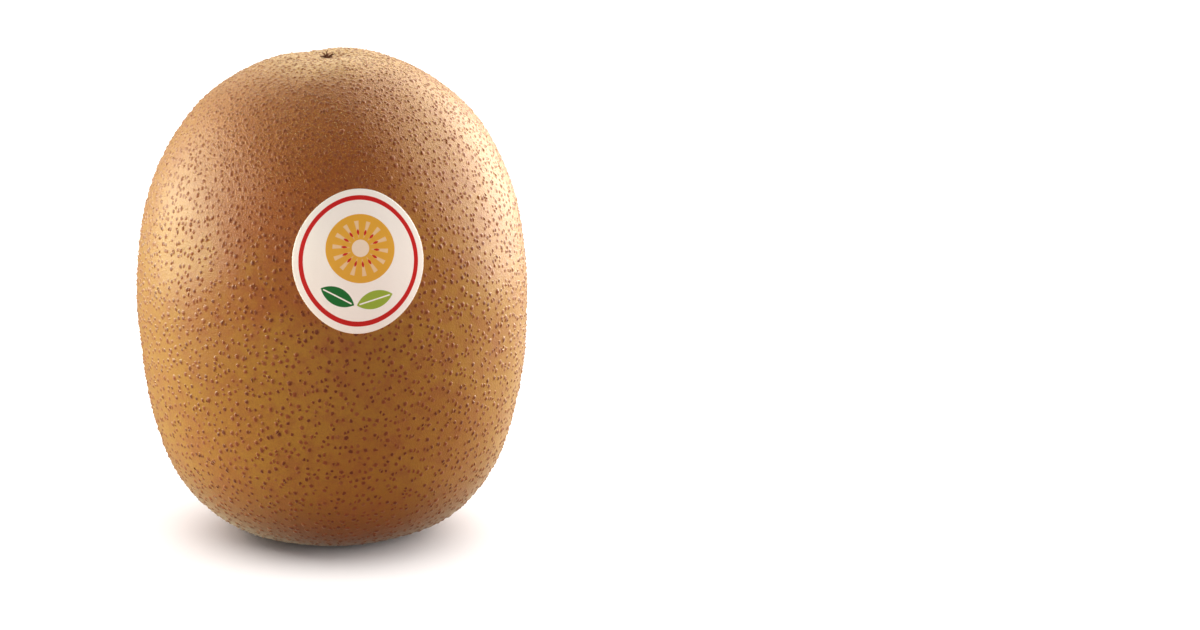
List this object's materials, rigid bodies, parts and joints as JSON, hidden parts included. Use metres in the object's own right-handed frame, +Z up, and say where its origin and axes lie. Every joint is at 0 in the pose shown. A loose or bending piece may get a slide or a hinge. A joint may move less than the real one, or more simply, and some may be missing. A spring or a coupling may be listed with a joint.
{
  "type": "kiwi fruit",
  "caption": "Whole gold kiwi fruit standing on its stalk end, with raised skin dots, a dried flower remnant in the crown dimple and a small oval label.",
  "frame": {"origin": "on the ground under the fruit's middle, in the plane of the flat spot it stands on", "axes": "+Z up from the stalk end to the crown, -Y the front with the label, +X to the right seen from the front"},
  "size_m": [0.0546, 0.0517, 0.0687],
  "materials": {
    "skin": "satin",
    "dry_flower": "matte",
    "label_paper": "satin"
  },
  "bodies": {
    "root": {"fruit": "skin", "flower_remnant": "dry_flower", "label": "label_paper"}
  },
  "joints": []
}
